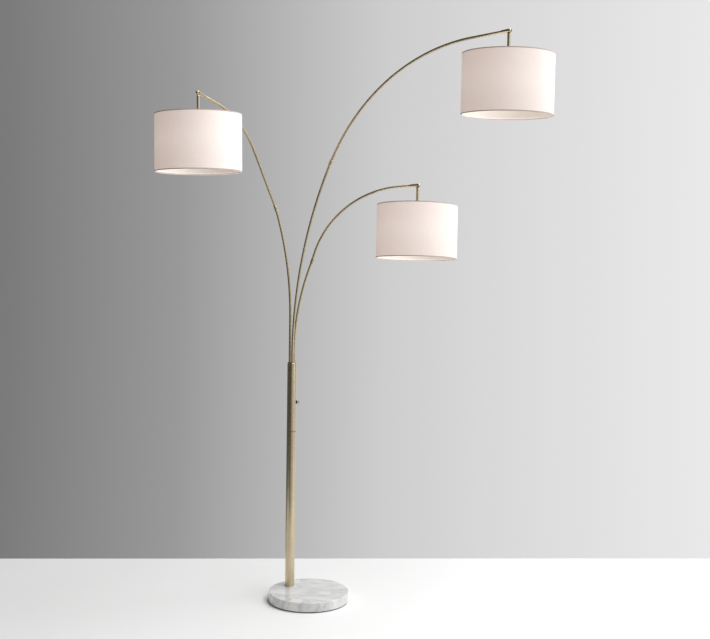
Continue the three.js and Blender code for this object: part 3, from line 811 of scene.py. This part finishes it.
# %% Bushes
BUSH_BORE = TUBE_RADIUS + 0.15
BUSH_TOP = CAP_TOP + GAP + 2
for name in arm_names:
    bush = turned([
        (BUSH_BORE, CAP_FOOT), (BUSH_RADIUS, CAP_FOOT), (BUSH_RADIUS, CAP_TOP + GAP),
        (7, CAP_TOP + GAP), (7, BUSH_TOP), (BUSH_BORE, BUSH_TOP),
    ], 48)
    seat = Matrix.Translation((swivels[name].x, swivels[name].y, 0))
    finished(f"{name}_bush", rounded(bush, 0.35, 2), f"{name}_arm", "brass", [f"{name}_arm_bush"], seat)

# %% [markdown]
# The knuckle is a turned ferrule on the arm's end, a little thicker towards its tip, with a slot sawn
# through for the drop rod's tongue. A black screw crosses the slot. Its head is domed, with a hex socket.

# %% Knuckles and screws
SLOT_BACK = 8.91
SLOT_WIDTH = 4.6
FERRULE_BACK = 30
FERRULE_PROFILE = [
    (0, -FERRULE_BACK), (5.35, -FERRULE_BACK), (5.6, -29.5), (6.0, -22), (6.25, -14), (6.25, 5.2),
    (5.9, 6.6), (4.9, 7.6), (3.4, 8), (0, 8),
]
SCREW_PROFILE = [
    (0, -6), (2, -6), (2, 6.55), (3.6, 6.55), (3.6, 7.3), (3.1, 8.1), (2.0, 8.5), (0, 8.55),
]
for name in arm_names:
    body = f"{name}_arm"
    at_tip = tip_frames[name]
    ferrule = turned(FERRULE_PROFILE, 48, closed=False)
    slot = bmesh.new()
    bmesh.ops.create_cube(slot, size=MM)
    bmesh.ops.scale(slot, vec=(20, SLOT_WIDTH, SLOT_BACK + 12), verts=slot.verts[:])
    slot = moved(slot, 0, 0, (12 - SLOT_BACK) / 2)
    tube_bore = solid_rod(TUBE_RADIUS + TUBE_FIT, -FERRULE_BACK - 1, GAP - TUBE_STOP)
    screw_hole = tipped(solid_rod(2.2, -10, 10), 90, "X")
    ferrule = cut(ferrule, tube_bore, slot, screw_hole)
    finished(f"{name}_knuckle", ferrule, body, "brass", [f"{name}_arm_knuckle"], at_tip)
    hex_socket = solid_rod(1.3, 7.6, 9.5, 6)
    screw = tipped(cut(turned(SCREW_PROFILE, 40, closed=False), hex_socket), 90, "X")
    finished(f"{name}_screw", screw, body, "black_steel", [f"{name}_knuckle_screw"], at_tip)

# %% [markdown]
# Everything below a pivot is built hanging straight down from the origin and then turned onto the line
# from the pivot to the drum's middle. The drop rod is a round tube with a flat tongue on top. The tongue
# starts as a box whose two upper edges are bevelled until they meet in a half circle.

# %% Drop rods
def hanging_frame(name):
    pivot = Vector(joints[f"{name}_shade_tilt"]["pos_m"])
    points = [vert.co for vert in nodes[f"{name}_shade"].data.vertices]
    up = (pivot - sum(points, Vector()) / len(points)).normalized()
    axis = Vector(joints[f"{name}_shade_tilt"]["axis"]).normalized()
    axis = (axis - up * axis.dot(up)).normalized()
    return frame_of(axis.cross(up), axis, up, pivot)


hanging = {name: hanging_frame(name) for name in arm_names}


def crosses_top(edge):
    first, second = edge.verts
    return min(first.co.z, second.co.z) > 0 and abs(first.co.x - second.co.x) < SAME_PLACE


TONGUE_WIDTH = 10
TONGUE_THICKNESS = 4
TONGUE_LENGTH = 18
TONGUE_TOP = 5
ROD_RADIUS = 5.5
ROD_BORE = 4
ROD_LOW = -65.4


def drop_rod():
    tongue = bmesh.new()
    bmesh.ops.create_cube(tongue, size=MM)
    bmesh.ops.scale(tongue, vec=(TONGUE_WIDTH, TONGUE_THICKNESS, TONGUE_LENGTH), verts=tongue.verts[:])
    tongue = moved(tongue, 0, 0, TONGUE_TOP - TONGUE_LENGTH / 2)
    bmesh.ops.bevel(
        tongue, geom=[edge for edge in tongue.edges if crosses_top(edge)],
        offset=(TONGUE_WIDTH / 2 - 0.01) * MM, offset_type="OFFSET", segments=10, profile=0.5,
        affect="EDGES", material=-1, clamp_overlap=True,
    )
    tube = turned([
        (0, -14), (ROD_BORE, -14), (ROD_BORE, ROD_LOW), (ROD_RADIUS, ROD_LOW),
        (ROD_RADIUS, -12), (4.9, -11), (0, -11),
    ], 48, closed=False)
    screw_hole = tipped(solid_rod(2.25, -10, 10), 90, "X")
    return cut(joined(tube, tongue), screw_hole)


for name in arm_names:
    body = f"{name}_shade_assembly"
    rod_node = f"{name}_drop_rod"
    finished(f"{name}_rod", drop_rod(), body, "brass", [rod_node], hanging[name], brass_arm)

# %% [markdown]
# Below the rod come the brass socket cap, the white lampholder, and a threaded ring that clamps the
# drum's wire spider against the holder's flange.

# %% Lampholders
HOLDER_RADIUS = 19
SKIRT_FOOT = -121.7
THREAD_PITCH = 3  # of the holder's skirt and of the bulb's cap
THREAD_DEPTH = 0.8
RING_RADIUS = 24.3  # of the clamping ring and of the spider's hub
RING_BORE = 19.3


def socket_cap():
    dome = turned([
        (5.7, -57.4), (5.7, -62.4), (18.8, -70.4), (18.8, -79.7), (20, -79.7), (20, -69.6), (19.2, -68.2),
        (8.6, -61.0), (8.2, -60.2), (8.2, -57.4),
    ], 72)
    return rounded(dome, 0.45, 2, 35)


def lampholder():
    profile = [(0, -97.7), (14, -97.7), (14, SKIRT_FOOT), (HOLDER_RADIUS, SKIRT_FOOT)]
    profile.append((HOLDER_RADIUS, -119.5))
    root = HOLDER_RADIUS - THREAD_DEPTH
    for turn in range(7):
        low = -119 + turn * THREAD_PITCH
        profile += [(HOLDER_RADIUS, low), (root, low + 0.8), (root, low + 1.2), (HOLDER_RADIUS, low + 2)]
    profile += [
        (HOLDER_RADIUS, -95.7), (21.5, -95.7), (21.5, -92.7), (17.5, -92.7), (17.5, -70.7), (0, -70.7),
    ]
    return rounded(turned(profile, 72, closed=False), 0.4, 2, 60)


for name in arm_names:
    body = f"{name}_shade_assembly"
    place = hanging[name]
    finished(f"{name}_cap", socket_cap(), body, "brass", [f"{name}_socket_cap"], place)
    finished(f"{name}_holder", lampholder(), body, "white_plastic", [f"{name}_lampholder"], place)
    collar = ribbed(RING_RADIUS, -104.3, -98.3, 36, 0.6, RING_BORE)
    finished(f"{name}_clamp_ring", collar, body, "white_plastic", [f"{name}_shade_ring"], place)

# %% [markdown]
# The spider is a hub with three wires that rise to a ring in the drum's top hem, and a second ring keeps
# the bottom hem round. All of it is painted wire.

# %% Spiders and wires
WIRE = 1.6
WIRE_CIRCLE = 149.1
TOP_WIRE = -79.6
BOTTOM_WIRE = -275.4
HUB_LOW = -98
HUB_HIGH = -96
SPOKE_BEARINGS = (90, 210, 330)


def wire_ring(height):
    bm = bmesh.new()
    bmesh.ops.create_circle(bm, cap_ends=False, segments=12, radius=WIRE * MM)
    return spun(moved(tipped(bm, 90, "X"), WIRE_CIRCLE, 0, height), 96)


def spoke(bearing):
    foot_radius, foot_height = RING_RADIUS - 1, HUB_HIGH - 0.5
    rise, run = TOP_WIRE - foot_height, WIRE_CIRCLE - foot_radius
    bar = solid_rod(WIRE, 0, math.hypot(rise, run), 12)
    bar = tipped(bar, math.degrees(math.atan2(run, rise)), "Y")
    return tipped(moved(bar, foot_radius, 0, foot_height), bearing, "Z")


for name in arm_names:
    body = f"{name}_shade_assembly"
    place = hanging[name]
    hub = rounded(hollow_ring(RING_RADIUS, RING_BORE, HUB_LOW, HUB_HIGH, 64), 0.3)
    spider = joined(hub, wire_ring(TOP_WIRE), *[spoke(bearing) for bearing in SPOKE_BEARINGS])
    finished(f"{name}_spider", spider, body, "white_wire", [f"{name}_shade_spider"], place)
    bottom_node = f"{name}_shade_lower_wire"
    finished(f"{name}_bottom_wire", wire_ring(BOTTOM_WIRE), body, "white_wire", [bottom_node], place)

# %% [markdown]
# The bulb is a round frosted globe on a short neck, with a screw cap of rolled steel. Only its lower half
# can be seen, from below.

# %% Bulbs
BULB_HEIGHT = -172.0  # of the globe's centre
BULB_RADIUS = 30
NECK_TOP = -121.5


def bulb_globe():
    profile = [(0, BULB_HEIGHT - BULB_RADIUS)]
    for degrees in range(-84, 61, 8):
        angle = math.radians(degrees)
        profile.append((BULB_RADIUS * math.cos(angle), BULB_HEIGHT + BULB_RADIUS * math.sin(angle)))
    profile += [(14.4, -139), (13.9, -132), (13.6, -126), (13.2, NECK_TOP), (0, NECK_TOP)]
    return turned(profile, 64, closed=False)


def bulb_thread():
    profile = [(0, NECK_TOP + 0.2), (12.9, NECK_TOP + 0.2)]
    for turn in range(6):
        low = -120 + turn * THREAD_PITCH
        profile += [(12.4, low), (13.0, low + 0.9), (13.0, low + 1.5), (12.4, low + 2.4)]
    profile += [(9, -101), (4, -98.2), (0, -98.0)]
    return turned(profile, 48, closed=False)


for name in arm_names:
    body = f"{name}_shade_assembly"
    finished(f"{name}_globe", bulb_globe(), body, "frosted_glass", [f"{name}_bulb"], hanging[name])
    finished(f"{name}_bulb_screw", bulb_thread(), body, "steel", (), hanging[name])

# %% [markdown]
# A drum is a strip of linen glued to a plastic liner and turned in over both rims. The cloth is made as
# one thin sheet: its half profile goes from the turned-in edge at the top, over the rim, down the outside
# and in again at the bottom. Spinning it gives the drum, and each face then gets its UVs in metres, so the
# weave keeps its true size. A narrow self-trim covers each rim, and a glued lap runs down the back.

# %% Drum helpers
DRUM_RADIUS = 152.5
RIM_HIGH = -76.0
RIM_LOW = -279.0
COVER_RADIUS = 152.3
TURNED_IN = 150.95  # radius of the edges inside the rims
DRUM_SIDES = 160
# How far the painted glow on cloth and liner reaches, in millimetres:
CLOTH_GLOW = 48  # how far from the bulb's height the light spreads, in millimetres
LINER_GLOW = 70


# The painted glow is strongest at the bulb's height and fades away from it.
def mark_glow(bm, reach):
    layer = bm.verts.layers.float.new("painted_glow")
    for vert in bm.verts:
        away = (vert.co.z / MM - BULB_HEIGHT) / reach
        vert[layer] = math.exp(-away * away)
    return bm


def lay_cloth(bm):
    uv = bm.loops.layers.uv.new("cloth")
    girth = 2 * math.pi * DRUM_RADIUS * MM
    for face in bm.faces:
        middle = face.calc_center_median()
        around = math.atan2(middle.y, middle.x)
        for loop in face.loops:
            here = math.atan2(loop.vert.co.y, loop.vert.co.x)
            turn = (here - around + math.pi) % (2 * math.pi) - math.pi
            loop[uv].uv = ((around + turn) / (2 * math.pi) * girth, loop.vert.co.z)
    return bm


def strip(profile, thickness, degrees=360, steps=DRUM_SIDES, start=0):
    bm = spun(tipped(outline(profile, False), start, "Z"), steps, degrees)
    bmesh.ops.solidify(bm, geom=bm.faces[:], thickness=thickness * MM)
    bmesh.ops.recalc_face_normals(bm, faces=bm.faces[:])
    return lay_cloth(mark_glow(bm, CLOTH_GLOW))


# %% Drums
def rim_turn(middle, sign, inner, outer, steps=6):
    mid_radius, half = (inner + outer) / 2, (outer - inner) / 2
    turns = [math.pi * step / steps for step in range(steps + 1)]
    points = [(mid_radius - half * math.cos(t), middle + sign * half * math.sin(t)) for t in turns]
    return points if sign > 0 else points[::-1]


CLOTH = 0.4
TRIM_CLOTH = 0.25
HEM = 8  # depth of the turned-in edge
DRUM_STEPS = 24


def down(top, bottom, first, last, steps):
    return [top + (bottom - top) * step / steps for step in range(first, last)]


sides_down = down(RIM_HIGH - 1, RIM_LOW + 1, 1, DRUM_STEPS, DRUM_STEPS)
cover_profile = (
    [(TURNED_IN, RIM_HIGH - HEM)] + rim_turn(RIM_HIGH - 0.9, 1, TURNED_IN, COVER_RADIUS)
    + [(COVER_RADIUS, height) for height in sides_down]
    + rim_turn(RIM_LOW + 0.9, -1, TURNED_IN, COVER_RADIUS) + [(TURNED_IN, RIM_LOW + HEM)]
)


def trim_band(rim, sign):
    points = [(152.55, 3.6), (152.72, 3.2), (152.72, 1.2), (152.45, 0.3)]
    return strip([(radius, rim - sign * inset) for radius, inset in points], TRIM_CLOTH)


LINER_RADIUS = 151.9
LINER_BORE = 151.25
LAP_RADIUS = 152.6
LAP_RIM = 6.8  # from a rim to the lap's end
LAP_STEPS = 16
LAP_TURN = 4.2  # degrees
lap_heights = down(RIM_HIGH - LAP_RIM, RIM_LOW + LAP_RIM, 0, LAP_STEPS + 1, LAP_STEPS)
lap_profile = [(LAP_RADIUS, height) for height in lap_heights]
for name in arm_names:
    body = f"{name}_shade_assembly"
    place = hanging[name]
    lining = f"{name}_liner"
    inner = hollow_ring(LINER_RADIUS, LINER_BORE, RIM_LOW + 1, RIM_HIGH - 1, DRUM_SIDES)
    inner = mark_glow(rounded(inner, 0.15), LINER_GLOW)
    finished(lining, inner, body, "linen", (), place, liner)
    cover = strip(cover_profile, CLOTH)
    cover = finished(f"{name}_linen_cover", cover, body, "linen", [f"{name}_shade"], place, linen)
    for end, rim, sign in (("top", RIM_HIGH, 1), ("bottom", RIM_LOW, -1)):
        # Each trim wears the darker linen, painted shade along its rim.
        trim = trim_band(rim, sign)
        finished(f"{name}_{end}_trim", trim, body, "linen", (), place, hem_linen_painted_shade)
    back = place.to_3x3().inverted() @ Vector((0, 1, 0))
    back_bearing = math.degrees(math.atan2(back.y, back.x))
    lap = strip(lap_profile, TRIM_CLOTH, LAP_TURN, 5, back_bearing - LAP_TURN / 2)
    finished(f"{name}_back_lap", lap, body, "linen", (), place, linen)

# %% [markdown]
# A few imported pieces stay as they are, because they sit inside the base and the pole: only their finish
# changes.

# %% Pieces kept from the pack
KEPT = {
    "base_felt": felt, "base_washer": steel, "base_nut": steel, "pole_nipple": steel,
    "pole_foot_plug": steel, "switch_body": black_plastic_inside,
} | {f"{name}_arm_retainer": steel for name in arm_names}
for node_name, material in KEPT.items():
    for material_slot in nodes[node_name].material_slots:
        material_slot.material = material
shown = sorted(name for name, node in nodes.items() if not node.hide_render)
counts = [count for _, count in made]
print("pieces made", len(made), "triangles", sum(counts), "most in one", max(counts))
print("packed pieces shown", shown)
